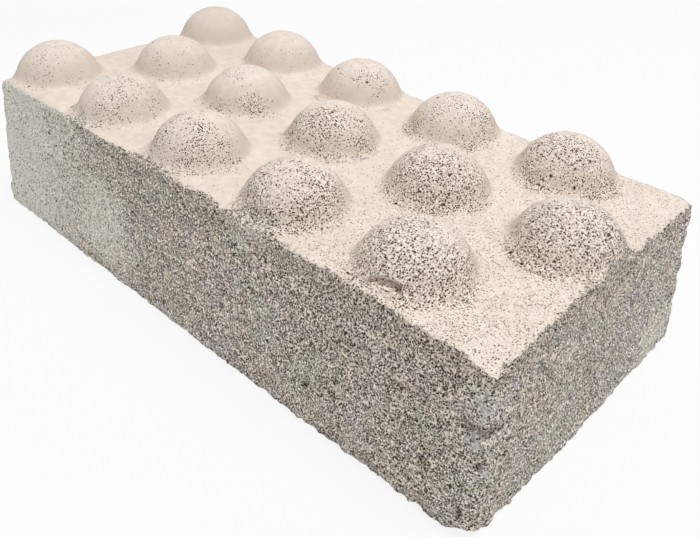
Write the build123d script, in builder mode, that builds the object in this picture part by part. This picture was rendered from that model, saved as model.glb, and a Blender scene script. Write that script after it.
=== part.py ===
from build123d import *
from math import acos, atan2, degrees, sqrt
import os

# Cast porous ceramic brick: one solid with flared walls and a relief of domes on its top face.
# Millimetres. Origin at the middle of the base, +X along the length, +Z up to the domes.

# body
base_length = 232.0
base_width = 116.0
body_height = 52.5
wall_flare = 4.0          # each wall leans in by this much from the base to the top edge
corner_radius = 5.5       # upright edges, measured at the base
base_edge_radius = 1.2    # worn edge round the bed face

# domes on the top face
dome_height = 12.5        # above the top face
dome_radius = 16.4        # of the ball that each dome is the cap of
dome_foot_blend = 4.0     # hollow round the foot
dome_root = 2.0           # how far a dome reaches down into the body
dome_pitch = 44.0         # along a row
row_pitch = 38.0          # from row to row
outer_row_start_x = -101.5
middle_row_start_x = -79.5
front_row_y = -35.0
domes_per_row = 5

# front right corner broken off at the base: what is lost along the three edges
chip_length = 11.0
chip_width = 8.0
chip_height = 8.0

# working sizes
overall_height = body_height + dome_height
wall_lean = degrees(atan2(wall_flare, body_height))
trim_spare = 2.0
field_margin = 30.0

# dome outline, measured from the middle of its foot on the top face
crown_centre_z = dome_height - dome_radius
blend_reach = dome_radius + dome_foot_blend
blend_rise = dome_foot_blend - crown_centre_z
foot_radius = sqrt(blend_reach**2 - blend_rise**2)
crown_angle = degrees(acos(blend_rise / blend_reach))

row_starts = [
    (outer_row_start_x, front_row_y),
    (middle_row_start_x, front_row_y + row_pitch),
    (outer_row_start_x, front_row_y + 2 * row_pitch),
]
dome_places = [
    (start_x + step * dome_pitch, row_y, body_height)
    for start_x, row_y in row_starts
    for step in range(domes_per_row)
]

# the plane of the break crosses the corner's three edges, and its normal points out of the body
chip_plane = Plane(
    origin=(base_length / 2 - chip_length, -base_width / 2, 0),
    z_dir=(1 / chip_length, -1 / chip_width, -1 / chip_height),
)

with BuildPart() as dome:
    with BuildSketch(Plane.XZ):
        with BuildLine():
            crown = CenterArc((0, crown_centre_z), dome_radius, 90 - crown_angle, crown_angle)
            hollow = CenterArc((foot_radius, dome_foot_blend), dome_foot_blend, 270, -crown_angle)
            Polyline(hollow @ 0, (foot_radius, -dome_root), (0, -dome_root), crown @ 1)
        make_face()
    revolve(axis=Axis.Z)

# The dome pattern runs past the body, so it is made oversize and trimmed by the walls.
with BuildPart() as dome_field:
    with BuildSketch():
        Rectangle(base_length + 2 * field_margin, base_width + 2 * field_margin)
    extrude(amount=body_height)
    with Locations(*dome_places):
        add(dome.part)

with BuildPart() as brick:
    with BuildSketch():
        RectangleRounded(base_length, base_width, corner_radius)
    extrude(amount=overall_height + trim_spare, taper=wall_lean)
    add(dome_field.part, mode=Mode.INTERSECT)
    fillet(brick.faces().sort_by(Axis.Z)[0].edges(), base_edge_radius)
    split(bisect_by=chip_plane, keep=Keep.BOTTOM)

brick.part.label = "brick"

os.makedirs("parts", exist_ok=True)
export_step(brick.part, "parts/brick.step")
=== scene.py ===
from math import copysign, hypot, sqrt

import bmesh
import bpy
from mathutils import Matrix, Vector, noise


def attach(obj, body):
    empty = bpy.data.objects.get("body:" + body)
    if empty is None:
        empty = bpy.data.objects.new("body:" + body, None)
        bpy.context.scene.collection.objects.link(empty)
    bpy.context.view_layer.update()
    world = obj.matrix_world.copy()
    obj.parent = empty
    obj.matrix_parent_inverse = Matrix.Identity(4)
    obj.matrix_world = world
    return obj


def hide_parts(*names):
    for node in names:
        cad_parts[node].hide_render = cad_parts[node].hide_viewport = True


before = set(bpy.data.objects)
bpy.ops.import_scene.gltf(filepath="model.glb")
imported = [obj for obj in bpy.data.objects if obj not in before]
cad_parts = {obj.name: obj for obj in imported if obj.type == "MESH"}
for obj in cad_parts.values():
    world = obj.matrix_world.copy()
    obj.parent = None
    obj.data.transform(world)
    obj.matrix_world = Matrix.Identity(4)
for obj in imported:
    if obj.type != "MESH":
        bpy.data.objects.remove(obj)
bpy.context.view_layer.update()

# Everything here is in metres. A size in millimetres is written as a number times MM.
# The front is the long wall at -y, the near end is the short wall at +x, and the near corner, which
# is closest to the camera, lies between them.
MM = 0.001

# Form of the brick, as in the part's own source
BASE_LENGTH = 232.0 * MM
BASE_WIDTH = 116.0 * MM
BODY_HEIGHT = 52.5 * MM
WALL_FLARE = 4.0 * MM
DOME_HEIGHT = 12.5 * MM
DOME_RADIUS = 16.4 * MM
DOME_FOOT_BLEND = 4.0 * MM
DOME_PITCH = 44.0 * MM
ROW_PITCH = 38.0 * MM
OUTER_ROW_START_X = -101.5 * MM
MIDDLE_ROW_START_X = -79.5 * MM
FRONT_ROW_Y = -35.0 * MM
DOMES_PER_ROW = 5

# Near corner of the base, broken off: what is lost along its three edges
CHIP_LENGTH = 11.0 * MM
CHIP_WIDTH = 8.0 * MM
CHIP_HEIGHT = 8.0 * MM

# Mesh spacing on the faces that show, margin of fine mesh kept round the bed, and longest edge on a dome
GRAIN = 0.9 * MM
BED_MARGIN = 5.0 * MM
LONGEST_EDGE = 1.5 * MM

# Wear of the edges: usual and least radius
EDGE_WEAR = 0.7 * MM
LEAST_EDGE_WEAR = 0.45 * MM

# Wear of the upright corners: side along x and y, radius at the base and at the top
CORNER_WEAR = [
    (1, -1, 5.5 * MM, 1.5 * MM),
    (1, 1, 1.0 * MM, 2.0 * MM),
    (-1, -1, 1.5 * MM, 3.0 * MM),
    (-1, 1, 3.0 * MM, 2.5 * MM),
]

# Wear of the foot: how high it reaches, the usual depth, below zero so that only the deeper of its
# nibbles show, and what is added to it along the front near the chip
FOOT_HEIGHT = 6.0 * MM
FOOT_WEAR = -0.15 * MM
FOOT_WORN_MOST = 1.5 * MM

# Places where the skin is broken away from the top edge: middle, half length and depth
FRONT_BITES = [
    (-60.0 * MM, 9.0 * MM, 2.0 * MM),
    (-18.0 * MM, 20.0 * MM, 1.6 * MM),
    (12.0 * MM, 9.0 * MM, 1.8 * MM),
    (30.0 * MM, 12.0 * MM, 3.6 * MM),
    (43.0 * MM, 6.0 * MM, 1.6 * MM),
]
END_BITES = [
    (8.5 * MM, 5.0 * MM, 2.0 * MM),
    (-14.0 * MM, 6.0 * MM, 1.4 * MM),
    (-25.0 * MM, 5.0 * MM, 1.0 * MM),
]

# Corners of the top face that sag: middle, reach and depth
DROOPS = [
    (Vector((111.0, -53.0)) * MM, 11.0 * MM, 1.6 * MM),
    (Vector((-112.0, -54.0)) * MM, 9.0 * MM, 1.3 * MM),
    (Vector((113.0, 55.0)) * MM, 7.0 * MM, 1.0 * MM),
]

# Groove gouged in the foot of the dome behind the near corner
GOUGE_FROM = Vector((71.5, -50.5)) * MM
GOUGE_TO = Vector((80.5, -48.8)) * MM
GOUGE_REACH = 0.9 * MM
GOUGE_DEPTH = 1.8 * MM

# Creases in the walls, as (along the wall, up): both ends, reach and depth
FRONT_CREASES = [
    (Vector((105.5, 35.4)) * MM, Vector((114.0, 34.0)) * MM, 1.6 * MM, 1.5 * MM),
    (Vector((85.0, 32.3)) * MM, Vector((97.2, 36.1)) * MM, 1.4 * MM, 0.9 * MM),
    (Vector((67.9, 35.1)) * MM, Vector((75.7, 38.2)) * MM, 1.3 * MM, 0.9 * MM),
    (Vector((57.5, 13.5)) * MM, Vector((65.1, 19.5)) * MM, 1.3 * MM, 0.8 * MM),
    (Vector((82.7, 37.0)) * MM, Vector((85.1, 33.0)) * MM, 1.2 * MM, 0.8 * MM),
    (Vector((-101.8, 32.0)) * MM, Vector((-93.0, 43.0)) * MM, 1.2 * MM, 0.7 * MM),
]
END_CREASES = [
    (Vector((-31.7, 40.5)) * MM, Vector((-24.5, 32.6)) * MM, 1.3 * MM, 1.0 * MM),
]

# Larger holes in the front wall: place along the length, height, and reach
FRONT_HOLES = [
    (97.9 * MM, 16.7 * MM, 1.9 * MM),
    (56.9 * MM, 13.1 * MM, 1.5 * MM),
    (68.5 * MM, 21.8 * MM, 1.4 * MM),
    (33.6 * MM, 32.0 * MM, 1.1 * MM),
    (20.5 * MM, 20.0 * MM, 1.1 * MM),
    (110.6 * MM, 9.0 * MM, 1.8 * MM),
    (113.0 * MM, 25.0 * MM, 1.4 * MM),
]
HOLE_DEPTH = 1.7 * MM

# Depth at which the painted shade in a hollow is as dark as it gets
HOLLOW_FULL = 1.6 * MM

# Places on the near upright corner that are rubbed smooth: middle, and reach along, across and up
RUBBED = [
    (Vector((111.4, -54.2, 41.2)) * MM, Vector((4.2, 3.6, 3.8)) * MM),
    (Vector((111.4, -55.4, 31.8)) * MM, Vector((4.6, 4.0, 3.0)) * MM),
    (Vector((113.6, -54.6, 22.6)) * MM, Vector((2.4, 2.4, 2.2)) * MM),
]

# Paler places on the walls: middle, reach and how pale
PALE_PATCHES = [
    (Vector((-46.0, -56.0, 20.0)) * MM, 30.0 * MM, 0.85),
    (Vector((32.0, -53.0, 50.0)) * MM, 9.0 * MM, 0.45),
    (Vector((113.2, -21.0, 38.0)) * MM, 6.0 * MM, 0.4),
    (Vector((115.4, 42.0, 8.0)) * MM, 18.0 * MM, 0.6),
]

# How pitted a dome in the middle of the brick is, and what each metre along and across adds to that
PITTED_MIDDLE = 0.63
PITTED_ALONG = 6.2
PITTED_ACROSS = -5.0

# Side of each dome that is pitted most, how far the pits reach from the middle of a dome, how much
# further on that side, and the width over which they fade out
PITTED_SIDE = Vector((0.45, -0.89))
PITTED_REACH = 15.5 * MM
PITTED_REACH_MORE = 5.5 * MM
PITTED_FADE = 4.0 * MM

# Share of fine open pores in the flat skin: at the near end, and what the front edge adds
SPECKLE_NEAR_END = 0.55
SPECKLE_FRONT_EDGE = 0.12

# Edge of the moulded skin: how far it is set back, half the width over which it fades, and how much of
# its raggedness is left along the back and the far end
SKIN_SET_BACK = 0.6 * MM
SKIN_FADE = 0.9 * MM
BACK_RAGGEDNESS = 0.4

# Depth to which the broken walls and the moulded skin are worn, and the least for the walls
RAW_DEPTH = 0.34 * MM
LEAST_RAW_DEPTH = 0.04 * MM
SKIN_DEPTH = 0.14 * MM

# Open pits of the broken walls: spacing and depth
PIT_SPACING = 6.5 * MM
PIT_DEPTH = 0.9 * MM

# Dome relief, from the same values as the part's own source
CROWN_CENTRE = DOME_HEIGHT - DOME_RADIUS
BLEND_REACH = DOME_RADIUS + DOME_FOOT_BLEND
BLEND_RISE = DOME_FOOT_BLEND - CROWN_CENTRE
FOOT_RADIUS = sqrt(BLEND_REACH**2 - BLEND_RISE**2)
TURN_RADIUS = FOOT_RADIUS * DOME_RADIUS / BLEND_REACH


def dome_centres():
    """Centre of each dome on the top face, row by row from the front."""
    starts = [OUTER_ROW_START_X, MIDDLE_ROW_START_X, OUTER_ROW_START_X]
    return [
        Vector((start_x + step * DOME_PITCH, FRONT_ROW_Y + row * ROW_PITCH))
        for row, start_x in enumerate(starts)
        for step in range(DOMES_PER_ROW)
    ]


DOME_CENTRES = dome_centres()


def dome_rise(distance):
    """Height of a dome above the top face, at a distance from its middle."""
    if distance < TURN_RADIUS:
        return CROWN_CENTRE + sqrt(DOME_RADIUS**2 - distance**2)
    if distance < FOOT_RADIUS:
        return DOME_FOOT_BLEND - sqrt(DOME_FOOT_BLEND**2 - (FOOT_RADIUS - distance) ** 2)
    return 0.0


def relief_rise(x, y):
    """Height of the dome relief above the top face."""
    here = Vector((x, y))
    return max(dome_rise((here - centre).length) for centre in DOME_CENTRES)


def smooth_step(low, high, value):
    """A smooth rise from 0 at low to 1 at high, or a fall where high is the smaller of the two."""
    share = min(max((value - low) / (high - low), 0.0), 1.0)
    return share * share * (3.0 - 2.0 * share)


def bumps(place, height, size, seed=0.0):
    """Smooth noise up to the given height either way, with lumps of about the given size."""
    return height * noise.noise(place / size + Vector((seed, seed, seed)))


def bite_depth(bites, along):
    """How far the skin is broken away at a place along an edge."""
    return max(depth * smooth_step(half, 0.4 * half, abs(along - middle)) for middle, half, depth in bites)


def corner_droop(x, y):
    """How far the top face sags at a place."""
    return max(
        depth * smooth_step(reach, 0.0, hypot(x - middle.x, y - middle.y))
        for middle, reach, depth in DROOPS
    )


def top_height(x, y):
    """Height of the top face at a place, with its domes and its sagging corners."""
    return BODY_HEIGHT + relief_rise(x, y) - corner_droop(x, y)


def wall_distances(place):
    """How far a point lies inside the end wall and inside the long wall nearest to it."""
    inset = WALL_FLARE * place.z / BODY_HEIGHT
    to_end = BASE_LENGTH / 2 - inset - abs(place.x)
    to_side = BASE_WIDTH / 2 - inset - abs(place.y)
    return to_end, to_side


def block_grid():
    """A unit-high box with a fine square grid on the top and walls, and an open middle left in the bed."""
    bm = bmesh.new()
    bmesh.ops.create_cube(bm, size=1.0, matrix=Matrix.Translation((0, 0, 0.5)))
    for axis, size in enumerate((BASE_LENGTH, BASE_WIDTH, BODY_HEIGHT)):
        along = [e for e in bm.edges if abs((e.verts[1].co - e.verts[0].co)[axis]) > 0.5]
        bmesh.ops.subdivide_edges(bm, edges=along, cuts=round(size / GRAIN) - 1, use_grid_fill=True)
    reach_x = 0.5 - BED_MARGIN / BASE_LENGTH
    reach_y = 0.5 - BED_MARGIN / BASE_WIDTH
    bed = []
    for face in bm.faces:
        middle = face.calc_center_median()
        if middle.z < 1e-6 and abs(middle.x) < reach_x and abs(middle.y) < reach_y:
            bed.append(face)
    bmesh.ops.dissolve_faces(bm, faces=bed, use_verts=True)
    return bm


def lean_and_raise(bm):
    """Lean the walls in and raise the domes, each vertex staying on its own face."""
    for vert in bm.verts:
        u, v, w = vert.co
        height = BODY_HEIGHT
        # the lean depends on the height, and the height on where the lean puts the vertex
        for attempt in range(3):
            inset = WALL_FLARE * height * w / BODY_HEIGHT
            x = u * (BASE_LENGTH - 2 * inset)
            y = v * (BASE_WIDTH - 2 * inset)
            height = top_height(x, y)
        vert.co = Vector((x, y, w * height))


def halve(bm, edges, on_top):
    """Halve edges, and put the new points of the top face on the relief."""
    made = bmesh.ops.subdivide_edges(bm, edges=edges, cuts=1, use_grid_fill=True)
    for item in made["geom_inner"]:
        if isinstance(item, bmesh.types.BMVert) and item.co.z > BODY_HEIGHT - EDGE_WEAR:
            item.co.z = top_height(item.co.x, item.co.y)
            item[on_top] = 1.0


def split_long_edges(bm, on_top):
    """Halve the long edges on the steep flanks of the domes."""
    long_edges = []
    for edge in bm.edges:
        both_on_top = edge.verts[0][on_top] > 0.5 and edge.verts[1][on_top] > 0.5
        if both_on_top and edge.calc_length() > LONGEST_EDGE:
            long_edges.append(edge)
    halve(bm, long_edges, on_top)


def refine_near_damage(bm, on_top):
    """Halve the mesh round the gouge and the larger holes, where the relief is finest."""
    gouge_middle = (GOUGE_FROM + GOUGE_TO) / 2
    gouge_half = (GOUGE_TO - GOUGE_FROM).length / 2 + 2 * GOUGE_REACH
    fine = []
    for edge in bm.edges:
        middle = (edge.verts[0].co + edge.verts[1].co) / 2
        near_gouge = middle.z > BODY_HEIGHT / 2 and (middle.xy - gouge_middle).length < gouge_half
        near_hole = middle.y < -0.4 * BASE_WIDTH and any(
            hypot(middle.x - along, middle.z - up) < 2 * reach for along, up, reach in FRONT_HOLES
        )
        if near_gouge or near_hole:
            fine.append(edge)
    halve(bm, fine, on_top)


def from_outline(to_end, to_side, radius):
    """How far a point lies inside an outline with round corners, and the way inward from there."""
    over = Vector((max(radius - to_end, 0.0), max(radius - to_side, 0.0)))
    if over.x > 0 and over.y > 0:
        return radius - over.length, over.normalized()
    if to_end < to_side:
        return to_end, Vector((1.0, 0.0))
    return to_side, Vector((0.0, 1.0))


def move_in(place, way, amount):
    """Move a point towards the middle of the block, seen from above."""
    place.x -= way.x * amount * copysign(1.0, place.x)
    place.y -= way.y * amount * copysign(1.0, place.y)


def corner_wear(place):
    """Radius that the upright corner nearest to a point is worn to."""
    for side_x, side_y, at_base, at_top in CORNER_WEAR:
        if place.x * side_x >= 0 and place.y * side_y >= 0:
            even = at_base + (at_top - at_base) * min(place.z / BODY_HEIGHT, 1.0)
            return even * (1.0 + bumps(place, height=0.4, size=7.0 * MM, seed=3.0))
    return 0.0


def edge_wear(place):
    """Radius of the worn edge between the walls and the top or the bed, small and ragged."""
    coarse = bumps(place, height=0.5 * MM, size=5.0 * MM)
    fine = bumps(place, height=0.6 * MM, size=1.9 * MM, seed=2.0)
    return max(EDGE_WEAR + (coarse + fine), LEAST_EDGE_WEAR)


def foot_loss(place):
    """How far the foot of the walls is nibbled back at a place round the base."""
    level = Vector((place.x, place.y, 0.0))
    coarse = bumps(level, height=1.3 * MM, size=3.6 * MM, seed=61.0)
    fine = bumps(level, height=0.9 * MM, size=1.8 * MM, seed=67.0)
    near_end = smooth_step(0.0, 110.0 * MM, place.x)
    near_front = smooth_step(-20.0 * MM, -50.0 * MM, place.y)
    return max(FOOT_WEAR + FOOT_WORN_MOST * near_end * near_front + (coarse + fine), 0.0)


def wear_edges(bm):
    """Round the upright corners, nibble the foot, and take off the sharp edges unevenly."""
    for vert in bm.verts:
        place = vert.co
        to_end, to_side = wall_distances(place)
        to_level = min(place.z, max(top_height(place.x, place.y) - place.z, 0.0))
        inside, way = from_outline(to_end, to_side, corner_wear(place))
        if inside < 0:
            move_in(place, way, -inside)
            inside = 0.0
        near_foot = smooth_step(FOOT_HEIGHT, 0.0, place.z) * smooth_step(BED_MARGIN, 0.0, inside)
        if near_foot > 0:
            move_in(place, from_outline(to_end, to_side, BED_MARGIN)[1], near_foot * foot_loss(place))
        radius = edge_wear(place)
        over = Vector((radius - inside, radius - to_level))
        if over.x > 0 and over.y > 0 and over.length > radius:
            pull = over * (1.0 - radius / over.length)
            move_in(place, way, pull.x)
            place.z += pull.y * (1 if place.z < BODY_HEIGHT / 2 else -1)


def break_corner(bm):
    """Press the points outside the plane of the broken corner back onto it."""
    on_plane = Vector((BASE_LENGTH / 2 - CHIP_LENGTH, -BASE_WIDTH / 2, 0.0))
    facing = Vector((1 / CHIP_LENGTH, -1 / CHIP_WIDTH, -1 / CHIP_HEIGHT)).normalized()
    for vert in bm.verts:
        beyond = (vert.co - on_plane).dot(facing)
        if beyond > 0:
            vert.co -= facing * beyond


def dome_pitting(place):
    """How open the moulded skin is here: most on the near side of the domes at the near end."""
    here = Vector((place.x, place.y))
    openness = 0.0
    for centre in DOME_CENTRES:
        amount = PITTED_MIDDLE + PITTED_ALONG * centre.x + PITTED_ACROSS * centre.y
        away = here - centre
        facing = smooth_step(-6.0 * MM, 10.0 * MM, away.dot(PITTED_SIDE))
        edge = PITTED_REACH + PITTED_REACH_MORE * facing
        inside = smooth_step(edge, edge - PITTED_FADE, away.length)
        openness = max(openness, amount * (0.3 + 0.7 * facing) * inside)
    return min(openness, 1.0)


def skin_speckle(place):
    """Share of fine open pores in the flat skin: dense at the near end and along the front."""
    near_end = smooth_step(0.0, 90.0 * MM, place.x)
    near_front = smooth_step(45.0 * MM, -30.0 * MM, place.y)
    by_front = smooth_step(25.0 * MM, 5.0 * MM, BASE_WIDTH / 2 + place.y)
    by_front_edge = by_front * smooth_step(-30.0 * MM, 40.0 * MM, place.x)
    return SPECKLE_NEAR_END * near_end * (0.6 + 0.4 * near_front) + SPECKLE_FRONT_EDGE * by_front_edge


def rubbed_smooth(place):
    """How far the raw surface is rubbed smooth, in patches on the near upright corner."""
    ragged = bumps(place, height=0.9, size=2.2 * MM, seed=53.0)
    share = 0.0
    for middle, reach in RUBBED:
        away = place - middle
        spread = Vector((away.x / reach.x, away.y / reach.y, away.z / reach.z)).length
        share = max(share, smooth_step(1.25, 0.3, spread + ragged))
    return share


def wall_paleness(place):
    """How pale the wall is: in a few patches, and over the whole far end."""
    ragged = bumps(place, height=5.0 * MM, size=6.0 * MM, seed=57.0)
    patches = max(
        paleness * smooth_step(reach, 0.2 * reach, (place - middle).length + ragged)
        for middle, reach, paleness in PALE_PATCHES
    )
    return max(patches, smooth_step(-20.0 * MM, -100.0 * MM, place.x))


def inside_skin(place, top):
    """How far a point lies inside the edge of the moulded skin, which is ragged and bitten back."""
    to_end, to_side = wall_distances(place)
    if place.x > 0:
        to_end -= bite_depth(END_BITES, place.y)
    if place.y < 0:
        to_side -= bite_depth(FRONT_BITES, place.x)
    inward = min(to_end, to_side) if top else place.z - top_height(place.x, place.y)
    coarse = bumps(place, height=1.6 * MM, size=6.5 * MM, seed=5.0)
    fine = bumps(place, height=1.2 * MM, size=2.2 * MM, seed=7.0)
    in_view = place.y < 0 or place.x > 0.45 * BASE_LENGTH
    return inward + (1.0 if in_view else BACK_RAGGEDNESS) * (coarse + fine - SKIN_SET_BACK)


def mark_surfaces(bm, on_top):
    """Write what each point belongs to, for the material to read, and give back the skin's layer."""
    names = ("skin", "dome", "pitting", "speckle", "rubbed", "pale", "hollow")
    skin, dome, pitting, speckle, rubbed, pale, hollow = [bm.verts.layers.float.new(name) for name in names]
    for vert in bm.verts:
        place = vert.co
        top = vert[on_top] > 0.5
        vert[skin] = smooth_step(-SKIN_FADE, SKIN_FADE, inside_skin(place, top))
        vert[dome] = relief_rise(place.x, place.y) / DOME_HEIGHT if top else 0.0
        vert[pitting] = dome_pitting(place) if top else 1.0
        vert[speckle] = skin_speckle(place)
        vert[rubbed] = rubbed_smooth(place)
        vert[pale] = wall_paleness(place)
        # how deep a hollow is here, for the painted shade the material puts in it
        deep = gouge_depth(place) if top else damage_depth(place)
        vert[hollow] = smooth_step(0.3 * HOLLOW_FULL, HOLLOW_FULL, deep)
    return skin


def raw_relief(place):
    """Depth of the broken surface of the walls: waves, long lumps, grit and open pits."""
    stretched = Vector((0.5 * place.x, place.y, place.z))
    waves = bumps(place, height=0.35 * MM, size=17.0 * MM)
    lumps = bumps(stretched, height=0.8 * MM, size=3.8 * MM, seed=11.0)
    grit = bumps(place, height=0.45 * MM, size=1.7 * MM, seed=23.0)
    distances, points = noise.voronoi(place / PIT_SPACING)
    # size of the nearest pit, as a share of the spacing
    pit_size = 0.13 + 0.16 * noise.noise(points[0] * 3.7)
    pit = PIT_DEPTH * smooth_step(pit_size, 0.0, distances[0])
    return max(RAW_DEPTH - waves - lumps - grit, LEAST_RAW_DEPTH) + pit


def skin_relief(place, rise):
    """Depth of the moulded skin, which is nearly smooth, with more grit on the domes."""
    waves = bumps(place, height=0.2 * MM, size=12.0 * MM, seed=31.0)
    grit_height = (0.03 + 0.10 * rise / DOME_HEIGHT) * MM
    grit = bumps(place, height=grit_height, size=1.7 * MM, seed=37.0)
    return max(SKIN_DEPTH - waves - grit, 0.0)


def off_line(here, start, finish):
    """Distance of a point from a straight piece of line."""
    line = finish - start
    share = min(max((here - start).dot(line) / line.length_squared, 0.0), 1.0)
    return (here - start - line * share).length


def gouge_depth(place):
    """Depth of the groove in the foot of a dome: steep under the dome, and wider to the near end."""
    here = Vector((place.x, place.y))
    line = GOUGE_TO - GOUGE_FROM
    towards_dome = line.x * (here.y - GOUGE_FROM.y) - line.y * (here.x - GOUGE_FROM.x) > 0
    widening = 0.5 + 0.5 * min(max((here.x - GOUGE_FROM.x) / line.x, 0.0), 1.0)
    reach = (0.5 if towards_dome else 1.5) * GOUGE_REACH * widening
    return widening * GOUGE_DEPTH * smooth_step(reach, 0.0, off_line(here, GOUGE_FROM, GOUGE_TO))


def damage_depth(place):
    """Depth of the creases and the larger holes in the front and end walls."""
    wobble = bumps(place, height=0.5 * MM, size=1.6 * MM, seed=41.0)
    if place.y < -0.4 * BASE_WIDTH:
        here, creases, holes = Vector((place.x, place.z)), FRONT_CREASES, FRONT_HOLES
    elif place.x > 0.4 * BASE_LENGTH:
        here, creases, holes = Vector((place.y, place.z)), END_CREASES, []
    else:
        return 0.0
    deepest = 0.0
    for start, finish, reach, depth in creases:
        away = off_line(here, start, finish)
        deepest = max(deepest, depth * smooth_step(reach, 0.2 * reach, away + wobble))
    for along, up, reach in holes:
        away = hypot(here.x - along, here.y - up)
        deepest = max(deepest, HOLE_DEPTH * smooth_step(reach, 0.3 * reach, away + wobble))
    return deepest


def roughen(bm, skin, on_top):
    """Push each point in along its normal by the relief of its own surface."""
    bm.normal_update()
    moves = []
    for vert in bm.verts:
        share = vert[skin]
        depth = 0.0
        if share < 1.0:
            depth += (1.0 - share) * (raw_relief(vert.co) + damage_depth(vert.co))
        if share > 0.0:
            depth += share * skin_relief(vert.co, relief_rise(vert.co.x, vert.co.y))
        if vert[on_top] > 0.5:
            depth += gouge_depth(vert.co)
        on_bed = vert.co.z < 0.05 * MM
        if on_bed:
            depth = 0.0
        moves.append(vert.normal * depth)
    for vert, move in zip(bm.verts, moves):
        vert.co -= move
        vert.co.z = max(vert.co.z, 0.0)


def make_brick():
    """The brick as one mesh: shaped, marked for its material, worn, chipped and roughened."""
    bm = block_grid()
    on_top = bm.verts.layers.float.new("on_top")
    for vert in bm.verts:
        vert[on_top] = 1.0 if vert.co.z > 1.0 - 1e-6 else 0.0
    lean_and_raise(bm)
    split_long_edges(bm, on_top)
    refine_near_damage(bm, on_top)
    skin = mark_surfaces(bm, on_top)
    wear_edges(bm)
    break_corner(bm)
    roughen(bm, skin, on_top)
    bmesh.ops.triangulate(bm, faces=[face for face in bm.faces if len(face.verts) > 4])
    bmesh.ops.recalc_face_normals(bm, faces=bm.faces)
    for face in bm.faces:
        face.smooth = True
    mesh = bpy.data.meshes.new("porous_brick")
    bm.to_mesh(mesh)
    bm.free()
    piece = bpy.data.objects.new("porous_brick", mesh)
    bpy.context.scene.collection.objects.link(piece)
    return piece


class Nodes:
    """Adds nodes to a tree and joins them, so that a material reads as a list of steps."""

    def __init__(self, tree):
        self.tree = tree

    def add(self, kind, settings=None, **inputs):
        """A new node. A space in the name of an input is written as an underscore."""
        node = self.tree.nodes.new(kind)
        for name, value in (settings or {}).items():
            setattr(node, name, value)
        for name, value in inputs.items():
            self.feed(node, name.replace("_", " "), value)
        return node

    def feed(self, node, key, value):
        """Give the socket with this name or number a value, or join it to another socket."""
        socket = node.inputs[key]
        if isinstance(value, bpy.types.NodeSocket):
            self.tree.links.new(value, socket)
        else:
            socket.default_value = value

    def attribute(self, name):
        return self.add("ShaderNodeAttribute", {"attribute_name": name}).outputs["Fac"]

    def join(self, node, values):
        """Feed several sockets of a node, given as pairs of a number and a value."""
        for key, value in values:
            self.feed(node, key, value)

    def math(self, operation, first, second=0.0, third=0.0, clamp=False):
        node = self.add("ShaderNodeMath", {"operation": operation, "use_clamp": clamp})
        self.join(node, enumerate((first, second, third)))
        return node.outputs[0]

    def times(self, first, second, clamp=False):
        return self.math("MULTIPLY", first, second, clamp=clamp)

    def between(self, share, first, second):
        """A number that goes from first to second as share goes from 0 to 1."""
        node = self.add("ShaderNodeMix", {"data_type": "FLOAT"})
        self.join(node, ((0, share), (2, first), (3, second)))
        return node.outputs[0]

    def ramp(self, value, low, high, to_low=0.0, to_high=1.0):
        """A smooth change from to_low to to_high as the value goes from low to high."""
        node = self.add("ShaderNodeMapRange", {"interpolation_type": "SMOOTHSTEP"}, Value=value,
                        From_Min=low, From_Max=high, To_Min=to_low, To_Max=to_high)
        return node.outputs["Result"]

    def blend(self, share, first, second, kind="MIX"):
        node = self.add("ShaderNodeMix", {"data_type": "RGBA", "blend_type": kind})
        self.join(node, ((0, share), (6, first), (7, second)))
        return node.outputs[2]

    def noise(self, vector, scale, detail=2.0, rough=0.5):
        node = self.add("ShaderNodeTexNoise", Vector=vector, Scale=scale, Detail=detail, Roughness=rough)
        return node.outputs["Fac"]


def new_group(name, inputs, outputs):
    """An empty node group, with what adds nodes to it and its input and output nodes."""
    tree = bpy.data.node_groups.new(name, "ShaderNodeTree")
    for socket_name, kind, value in inputs:
        socket = tree.interface.new_socket(socket_name, in_out="INPUT", socket_type=kind)
        if value is not None:
            socket.default_value = value
    for socket_name, kind in outputs:
        tree.interface.new_socket(socket_name, in_out="OUTPUT", socket_type=kind)
    entry = tree.nodes.new("NodeGroupInput")
    leave = tree.nodes.new("NodeGroupOutput")
    return tree, Nodes(tree), entry, leave


def uneven_place(nodes, place):
    """Object coordinates shifted a little at random, so that no pore is quite round."""
    wobble = nodes.add("ShaderNodeTexNoise", Vector=place, Scale=WOBBLE_LUMPS, Detail=1.0)
    shift = nodes.add("ShaderNodeVectorMath", {"operation": "MULTIPLY_ADD"})
    nodes.join(shift, ((0, wobble.outputs["Color"]), (1, (WOBBLE, WOBBLE, WOBBLE)), (2, place)))
    return shift.outputs[0]


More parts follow.
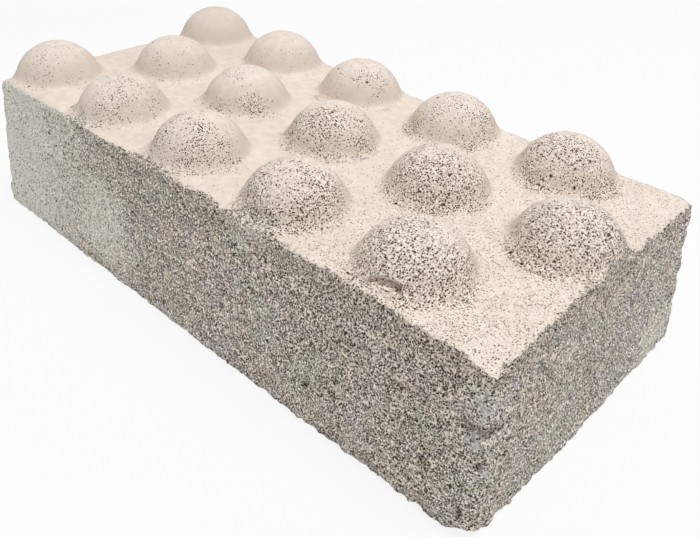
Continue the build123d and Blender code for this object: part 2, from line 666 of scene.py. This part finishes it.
def pore_group():
    """Open pores: Share of the cells hold one. Size is the widest radius, and Soft the width of its edge.
    Mask is where a pore gets painted shade, and Rim the lip round it that gets a painted highlight.
    """
    tree, nodes, entry, leave = new_group(
        "open_pores",
        [
            ("Vector", "NodeSocketVector", None),
            ("Scale", "NodeSocketFloat", 800.0),
            ("Size", "NodeSocketFloat", 0.4),
            ("Share", "NodeSocketFloat", 1.0),
            ("Soft", "NodeSocketFloat", 0.15),
        ],
        [("Mask", "NodeSocketFloat"), ("Rim", "NodeSocketFloat"), ("Depth", "NodeSocketFloat")],
    )
    cells = nodes.add("ShaderNodeTexVoronoi", {"feature": "F1"},
                      Vector=entry.outputs["Vector"], Scale=entry.outputs["Scale"], Randomness=PORE_SCATTER)
    chance = nodes.add("ShaderNodeSeparateColor", Color=cells.outputs["Color"])
    held = nodes.math("LESS_THAN", chance.outputs["Red"], entry.outputs["Share"])
    spread = nodes.math("MULTIPLY_ADD", chance.outputs["Green"], 0.5, third=0.5)
    radius = nodes.times(entry.outputs["Size"], spread)
    inside = nodes.math("SUBTRACT", radius, cells.outputs["Distance"])
    edge = nodes.math("DIVIDE", inside, entry.outputs["Soft"], clamp=True)
    tone = nodes.math("MULTIPLY_ADD", chance.outputs["Blue"], 0.3, third=0.7)
    shade_mask = nodes.times(nodes.times(edge, tone), held)
    near_lip = nodes.math("MULTIPLY_ADD", inside, 1.0 / LIP_WIDTH, third=1.0, clamp=True)
    outside = nodes.math("SUBTRACT", 1.0, edge)
    rim_highlight = nodes.times(nodes.times(near_lip, outside), held)
    bowl = nodes.times(nodes.math("DIVIDE", inside, radius, clamp=True), held)
    nodes.tree.links.new(shade_mask, leave.inputs["Mask"])
    nodes.tree.links.new(rim_highlight, leave.inputs["Rim"])
    nodes.tree.links.new(nodes.math("SQRT", bowl), leave.inputs["Depth"])
    return tree


# Colours of the ceramic
SKIN_CREAM = (0.835, 0.735, 0.65, 1.0)
SKIN_ROSE = (0.80, 0.695, 0.61, 1.0)
# Painted shade on the lower flanks of the domes, also used to darken the far back of the top
SKIN_FLANK_SHADE = (0.62, 0.54, 0.47, 1.0)
SKIN_STAIN = (0.66, 0.52, 0.405, 1.0)
RAW_BROWN = (0.69, 0.605, 0.535, 1.0)
RAW_SAGE = (0.63, 0.645, 0.54, 1.0)
RAW_LILAC = (0.70, 0.635, 0.625, 1.0)
RAW_STRAW = (0.70, 0.64, 0.53, 1.0)
RAW_PALE = (0.80, 0.79, 0.72, 1.0)
# Painted shade for a band under the top edge of the walls, also the darker brown towards the near end and the
# front
RAW_DARK_BROWN_AND_EDGE_SHADE = (0.46, 0.385, 0.32, 1.0)
RAW_RUBBED = (0.46, 0.465, 0.43, 1.0)
RAW_SMEARED = (0.68, 0.69, 0.65, 1.0)
# Painted shade inside the pores and in their brown mouths; the skin's pore shade also darkens its random dark
# flecks
RAW_PORE_SHADE = (0.045, 0.032, 0.023, 1.0)
SKIN_FLECK_AND_PORE_SHADE = (0.05, 0.026, 0.013, 1.0)
RAW_PORE_MOUTH_SHADE = (0.31, 0.245, 0.19, 1.0)
SKIN_PORE_MOUTH_SHADE = (0.36, 0.235, 0.135, 1.0)
# Painted highlight on the lips of the pores; the skin's also lightens its random pale flecks
SKIN_FLECK_AND_LIP_HIGHLIGHT = (1.0, 0.93, 0.855, 1.0)
RAW_LIP_HIGHLIGHT = (0.88, 0.83, 0.77, 1.0)

# How unevenly the pores are spread, how far they are shifted at random, and the width in cells of a lip,
# which takes a painted highlight
PORE_SCATTER = 0.75
WOBBLE = 0.22 * MM
LIP_WIDTH = 0.16

# How fine the patterns of the material are, in lumps or cells to the metre
SKIN_CLOUDS = 38.0
SKIN_FAINT_CLOUDS = 320.0
SAGE_CLOUDS = 80.0
LILAC_CLOUDS = 95.0
STRAW_CLOUDS = 62.0
SMEARED_STREAKS = (260.0, 260.0, 900.0)
SKIN_EDGE_LUMPS = 600.0
OPEN_PATCHES = 90.0
MOTTLE_LUMPS = 1700.0
WOBBLE_LUMPS = 1500.0
RAW_PORE_CELLS = 1600.0
SKIN_PORE_CELLS = 1700.0
WIDE_PORE_CELLS = 430.0

# Widest radius of a pore in cells: in the walls, in closed and in open skin, and of the few wide pores
RAW_PORE_SIZE = 0.58
CLOSED_SKIN_PORE_SIZE = 0.44
OPEN_SKIN_PORE_SIZE = 0.54
WIDE_PORE_SIZE = 0.27

# Share of the cells with a pore in the walls, and with a wide pore in the walls and in open skin
RAW_PORE_SHARE = 0.98
RAW_WIDE_SHARE = 0.2
SKIN_WIDE_SHARE = 0.28

# How far the bottom of a crease or hole takes the painted shade of a pore
HOLLOW_SHADE = 0.26

# Height of the fine relief in millimetres: grit of the walls and the skin, what open skin adds to it,
# and depth of the small pores of both and of the wide ones
RAW_GRIT = 0.4
SKIN_GRIT = 0.03
OPEN_SKIN_GRIT = 0.3
RAW_PORE_DEPTH = 0.32
SKIN_PORE_DEPTH = 0.22
WIDE_PORE_DEPTH = 0.5


def skin_colour(nodes, place, dome, openness, speckle, mottle):
    """Cream skin: darker at the far back, with painted shade on the domes' lower flanks, stained and mottled
    where open.
    """
    cloud = nodes.ramp(nodes.noise(place, SKIN_CLOUDS, 2.0), 0.35, 0.65)
    colour = nodes.blend(cloud, SKIN_CREAM, SKIN_ROSE)
    faint = nodes.ramp(nodes.noise(place, SKIN_FAINT_CLOUDS, 4.0, 0.6), 0.35, 0.65, 0.94, 1.05)
    colour = nodes.blend(1.0, colour, faint, "MULTIPLY")
    axes = nodes.add("ShaderNodeSeparateXYZ", Vector=place)
    far = nodes.ramp(axes.outputs["X"], -40.0 * MM, -110.0 * MM)
    back = nodes.ramp(axes.outputs["Y"], -20.0 * MM, 40.0 * MM)
    # darker towards the far back, in the colour of the painted flank shade
    colour = nodes.blend(nodes.times(nodes.times(far, back), 0.35), colour, SKIN_FLANK_SHADE)
    # painted shade on the lower flanks of the domes, less where the skin is open
    flank_shade = nodes.times(nodes.ramp(dome, 0.02, 0.12), nodes.ramp(dome, 0.9, 0.4, 0.0, 0.55))
    flank_shade = nodes.times(flank_shade, nodes.ramp(openness, 0.3, 1.0, 1.0, 0.5))
    colour = nodes.blend(flank_shade, colour, SKIN_FLANK_SHADE)
    stain = nodes.times(openness, nodes.ramp(dome, 0.75, 0.3, 0.0, 0.42))
    colour = nodes.blend(stain, colour, SKIN_STAIN)
    open_share = nodes.math("ADD", openness, speckle)
    light = nodes.times(nodes.ramp(mottle, 0.5, 0.62, 0.0, 0.6), open_share)
    colour = nodes.blend(light, colour, SKIN_FLECK_AND_LIP_HIGHLIGHT)
    shade = nodes.times(nodes.ramp(mottle, 0.5, 0.36, 0.0, 0.3), open_share)
    return nodes.blend(shade, colour, SKIN_FLECK_AND_PORE_SHADE)


def raw_tint(nodes, place, pale):
    """Brown in clouds of sage, lilac and straw: pale at the foot, with painted shade in a band under the top
    edge, and darker towards the near end and the front.
    """
    axes = nodes.add("ShaderNodeSeparateXYZ", Vector=place)
    along, across, up = axes.outputs["X"], axes.outputs["Y"], axes.outputs["Z"]
    by_end = nodes.ramp(along, 100.0 * MM, 112.0 * MM, 0.0, 0.25)
    foot = nodes.ramp(up, 6.0 * MM, 1.5 * MM, 0.0, 0.3)
    sage = nodes.math("MULTIPLY_ADD", by_end, 0.2, third=nodes.noise(place, SAGE_CLOUDS, 4.0))
    colour = nodes.blend(nodes.ramp(sage, 0.5, 0.66, 0.0, 0.7), RAW_BROWN, RAW_SAGE)
    lilac = nodes.math("ADD", foot, by_end)
    lilac = nodes.math("MULTIPLY_ADD", lilac, 0.3, third=nodes.noise(place, LILAC_CLOUDS, 3.0))
    colour = nodes.blend(nodes.ramp(lilac, 0.5, 0.68, 0.0, 0.8), colour, RAW_LILAC)
    straw = nodes.noise(place, STRAW_CLOUDS, 3.0)
    colour = nodes.blend(nodes.ramp(straw, 0.5, 0.64, 0.0, 0.6), colour, RAW_STRAW)
    # painted shade in a band under the top edge of the walls
    shade_under_edge = nodes.ramp(up, BODY_HEIGHT - 9.0 * MM, BODY_HEIGHT - 2.0 * MM, 0.0, 0.45)
    colour = nodes.blend(shade_under_edge, colour, RAW_DARK_BROWN_AND_EDGE_SHADE)
    colour = nodes.blend(nodes.times(nodes.math("MAXIMUM", pale, foot), 0.75), colour, RAW_PALE)
    # darker towards the near end and the front
    near_end = nodes.ramp(along, 0.0, 110.0 * MM, 0.0, 0.22)
    near_front = nodes.ramp(across, 50.0 * MM, -50.0 * MM)
    return nodes.blend(nodes.times(near_end, near_front), colour, RAW_DARK_BROWN_AND_EDGE_SHADE)


def raw_colour(nodes, place, pale, rubbed, mottle):
    """Broken ceramic: its tint made grainy, less where it is pale, and streaked where it is rubbed smooth."""
    grain = nodes.ramp(mottle, 0.35, 0.63, 0.3, 1.62)
    calm = nodes.between(nodes.times(pale, 0.6), grain, 1.0)
    grainy = nodes.blend(1.0, raw_tint(nodes, place, pale), calm, "MULTIPLY")
    flattened = nodes.add("ShaderNodeMapping", Vector=place, Scale=SMEARED_STREAKS)
    streaks = nodes.ramp(nodes.noise(flattened.outputs["Vector"], 1.0, 3.0), 0.35, 0.65)
    smeared = nodes.blend(0.5, nodes.blend(streaks, RAW_RUBBED, RAW_SMEARED), grain, "MULTIPLY")
    return nodes.blend(rubbed, grainy, smeared)


def skin_cover(nodes, place):
    """Where the moulded skin is, with an edge made ragged by noise."""
    covered = nodes.attribute("skin")
    # 1 halfway through the skin's edge, and 0 away from it
    near_edge = nodes.times(covered, nodes.math("SUBTRACT", 4.0, nodes.times(covered, 4.0)))
    ragged = nodes.ramp(nodes.noise(place, SKIN_EDGE_LUMPS, 2.0), 0.25, 0.75, -0.7, 0.7)
    return nodes.ramp(nodes.math("MULTIPLY_ADD", ragged, near_edge, third=covered), 0.36, 0.64)


def skin_openness(nodes, place):
    """How open the skin is: as the mesh says, made patchy by noise."""
    pitting = nodes.attribute("pitting")
    patches = nodes.ramp(nodes.noise(place, OPEN_PATCHES, 2.0), 0.3, 0.7, -0.35, 0.35)
    patchy = nodes.times(patches, nodes.ramp(pitting, 0.0, 0.35))
    return nodes.math("ADD", pitting, patchy, clamp=True)


def fine_relief(nodes, on_skin, openness, darkness, mottle, small, wide):
    """Normal from the grit and the pores, whose heights are in millimetres."""
    skin_grit = nodes.math("MULTIPLY_ADD", openness, OPEN_SKIN_GRIT, third=SKIN_GRIT)
    grit = nodes.times(mottle, nodes.between(on_skin, RAW_GRIT, skin_grit))
    small_height = nodes.between(on_skin, RAW_PORE_DEPTH, nodes.times(darkness, SKIN_PORE_DEPTH))
    small_depth = nodes.times(small.outputs["Depth"], small_height)
    pits = nodes.math("MULTIPLY_ADD", wide.outputs["Depth"], WIDE_PORE_DEPTH, third=small_depth)
    height = nodes.math("SUBTRACT", grit, pits)
    return nodes.add("ShaderNodeBump", Strength=1.0, Distance=MM, Height=height).outputs["Normal"]


def porous_ceramic():
    """Fired ceramic: moulded skin on top, open pores where it is worn or broken."""
    material = bpy.data.materials.new("porous_ceramic")
    material.use_nodes = True
    nodes = Nodes(material.node_tree)
    shader = material.node_tree.nodes["Principled BSDF"]
    shader.inputs["Roughness"].default_value = 0.92
    shader.inputs["Specular IOR Level"].default_value = 0.05

    place = nodes.add("ShaderNodeTexCoord").outputs["Object"]
    uneven = uneven_place(nodes, place)
    mottle = nodes.noise(uneven, MOTTLE_LUMPS, 2.0, 0.6)
    dome = nodes.attribute("dome")
    speckle = nodes.attribute("speckle")
    pale = nodes.attribute("pale")
    rubbed = nodes.times(nodes.attribute("rubbed"), 0.75)
    on_skin = skin_cover(nodes, place)
    openness = skin_openness(nodes, place)

    # small pores: nearly everywhere in the walls, and in the skin where it is open
    crown = nodes.ramp(dome, 0.6, 1.0, 0.95, 0.7)
    skin_share = nodes.math("MAXIMUM", nodes.times(openness, crown), speckle)
    skin_size = nodes.ramp(openness, 0.1, 1.0, CLOSED_SKIN_PORE_SIZE, OPEN_SKIN_PORE_SIZE)
    closed = nodes.math("MAXIMUM", rubbed, nodes.times(pale, 0.8))
    raw_share = nodes.math("MULTIPLY_ADD", closed, -RAW_PORE_SHARE, third=RAW_PORE_SHARE)
    pores = {"node_tree": pore_group()}
    small = nodes.add("ShaderNodeGroup", pores, Vector=uneven,
                      Scale=nodes.between(on_skin, RAW_PORE_CELLS, SKIN_PORE_CELLS),
                      Soft=nodes.between(on_skin, 0.07, 0.05),
                      Size=nodes.between(on_skin, RAW_PORE_SIZE, skin_size),
                      Share=nodes.between(on_skin, raw_share, skin_share))
    raw_darkness = nodes.ramp(pale, 0.0, 1.0, 1.0, 0.55)
    skin_darkness = nodes.ramp(openness, 0.1, 0.9, 0.72, 1.0)
    darkness = nodes.between(on_skin, raw_darkness, skin_darkness)

    # a few wide pores, and the creases and holes of the mesh, which all take painted shade
    wide_share = nodes.between(on_skin, RAW_WIDE_SHARE, nodes.times(openness, SKIN_WIDE_SHARE))
    wide = nodes.add("ShaderNodeGroup", pores, Vector=uneven, Scale=WIDE_PORE_CELLS, Soft=0.12,
                     Size=WIDE_PORE_SIZE, Share=wide_share)
    pore_shade = nodes.math("MAXIMUM", nodes.times(small.outputs["Mask"], darkness), wide.outputs["Mask"])
    shade_mask = nodes.math("MAXIMUM", pore_shade, nodes.times(nodes.attribute("hollow"), HOLLOW_SHADE))

    # colour: the body with a painted highlight on the lips of its pores, and painted shade in their brown
    # mouths and dark inside
    skin = skin_colour(nodes, place, dome, openness, speckle, mottle)
    raw = raw_colour(nodes, place, pale, rubbed, mottle)
    # painted highlight on the lips round the pores
    lip_highlight = nodes.times(small.outputs["Rim"], nodes.between(on_skin, 0.8, nodes.times(darkness, 0.9)))
    body = nodes.blend(lip_highlight, nodes.blend(on_skin, raw, skin), nodes.blend(on_skin, RAW_LIP_HIGHLIGHT, SKIN_FLECK_AND_LIP_HIGHLIGHT))
    mouth_shade = nodes.times(shade_mask, 1.8, clamp=True)
    colour = nodes.blend(mouth_shade, body, nodes.blend(on_skin, RAW_PORE_MOUTH_SHADE, SKIN_PORE_MOUTH_SHADE))
    # painted shade, darkest inside the pores
    deep = nodes.math("POWER", shade_mask, 1.5)
    colour = nodes.blend(deep, colour, nodes.blend(on_skin, RAW_PORE_SHADE, SKIN_FLECK_AND_PORE_SHADE))
    normal = fine_relief(nodes, on_skin, openness, darkness, mottle, small, wide)
    material.node_tree.links.new(colour, shader.inputs["Base Color"])
    material.node_tree.links.new(normal, shader.inputs["Normal"])
    return material


# Camera, at the photograph's viewing angle, with its lens in pixels of a frame 700 wide
SENSOR_WIDTH_MM = 36.0
FRAME_WIDTH_PX = 700.0
LENS_PX = 738.69
SHIFT_Y = -0.0436
CAMERA_PLACE = Vector((163.70, -162.14, 157.96)) * MM
LOOK_RIGHT = Vector((0.72971, 0.68202, 0.04861))
LOOK_DOWN = Vector((0.39808, -0.36596, -0.84119))


def make_camera():
    data = bpy.data.cameras.new("camera")
    data.sensor_width = SENSOR_WIDTH_MM
    data.lens = data.sensor_width * LENS_PX / FRAME_WIDTH_PX
    data.shift_y = SHIFT_Y
    data.clip_start = 0.01
    camera = bpy.data.objects.new("camera", data)
    bpy.context.scene.collection.objects.link(camera)
    right = LOOK_RIGHT.normalized()
    back = right.cross(-LOOK_DOWN).normalized()
    turn = Matrix((right, back.cross(right), back)).transposed()
    camera.matrix_world = Matrix.Translation(CAMERA_PLACE) @ turn.to_4x4()
    bpy.context.scene.camera = camera


# Floor: half its width, its tone in the light, and the share of plain white that the camera sees
FLOOR_REACH = 6.0
FLOOR_TONE = (0.88, 0.88, 0.88, 1.0)
FLOOR_GLOW = 0.85


def make_floor():
    """A plain pale floor, nearly white to the camera, that keeps a soft shadow."""
    bm = bmesh.new()
    bmesh.ops.create_grid(bm, x_segments=1, y_segments=1, size=FLOOR_REACH)
    mesh = bpy.data.meshes.new("floor")
    bm.to_mesh(mesh)
    bm.free()
    floor = bpy.data.objects.new("floor", mesh)
    bpy.context.scene.collection.objects.link(floor)
    material = bpy.data.materials.new("pale_floor")
    material.use_nodes = True
    nodes = Nodes(material.node_tree)
    shader = material.node_tree.nodes["Principled BSDF"]
    shader.inputs["Base Color"].default_value = FLOOR_TONE
    shader.inputs["Roughness"].default_value = 0.9
    glow = nodes.add("ShaderNodeEmission", Strength=1.0)
    seen = nodes.add("ShaderNodeLightPath").outputs["Is Camera Ray"]
    mix = nodes.add("ShaderNodeMixShader")
    nodes.join(mix, ((0, nodes.times(seen, FLOOR_GLOW)), (1, shader.outputs[0]), (2, glow.outputs[0])))
    nodes.tree.links.new(mix.outputs[0], material.node_tree.nodes["Material Output"].inputs["Surface"])
    floor.data.materials.append(material)


# Light: even light from all round, and a soft overhead lamp a little to the right
AMBIENT = 0.6
LAMP_PLACE = (0.27, 0.05, 1.05)
LAMP_SIZE = 0.4
LAMP_POWER = 5.3


def make_lamp(name, place, size, power):
    """A round soft lamp that points at the middle of the bed."""
    data = bpy.data.lights.new(name, "AREA")
    data.shape = "DISK"
    data.size = size
    data.energy = power
    lamp = bpy.data.objects.new(name, data)
    bpy.context.scene.collection.objects.link(lamp)
    lamp.location = place
    lamp.rotation_euler = (-Vector(place)).to_track_quat("-Z", "Y").to_euler()


def make_studio():
    """Even light from all round, white to the camera, and one lamp."""
    world = bpy.data.worlds.new("studio")
    world.use_nodes = True
    nodes = Nodes(world.node_tree)
    background = world.node_tree.nodes["Background"]
    seen = nodes.add("ShaderNodeLightPath").outputs["Is Camera Ray"]
    strength = nodes.ramp(seen, 0.0, 1.0, AMBIENT, 1.0)
    world.node_tree.links.new(strength, background.inputs["Strength"])
    background.inputs["Color"].default_value = (1.0, 1.0, 1.0, 1.0)
    bpy.context.scene.world = world
    make_lamp("overhead", LAMP_PLACE, LAMP_SIZE, LAMP_POWER)


brick = make_brick()
brick.data.materials.append(porous_ceramic())
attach(brick, "root")
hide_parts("brick")

make_camera()
make_floor()
make_studio()
bpy.context.scene.view_settings.view_transform = "Standard"
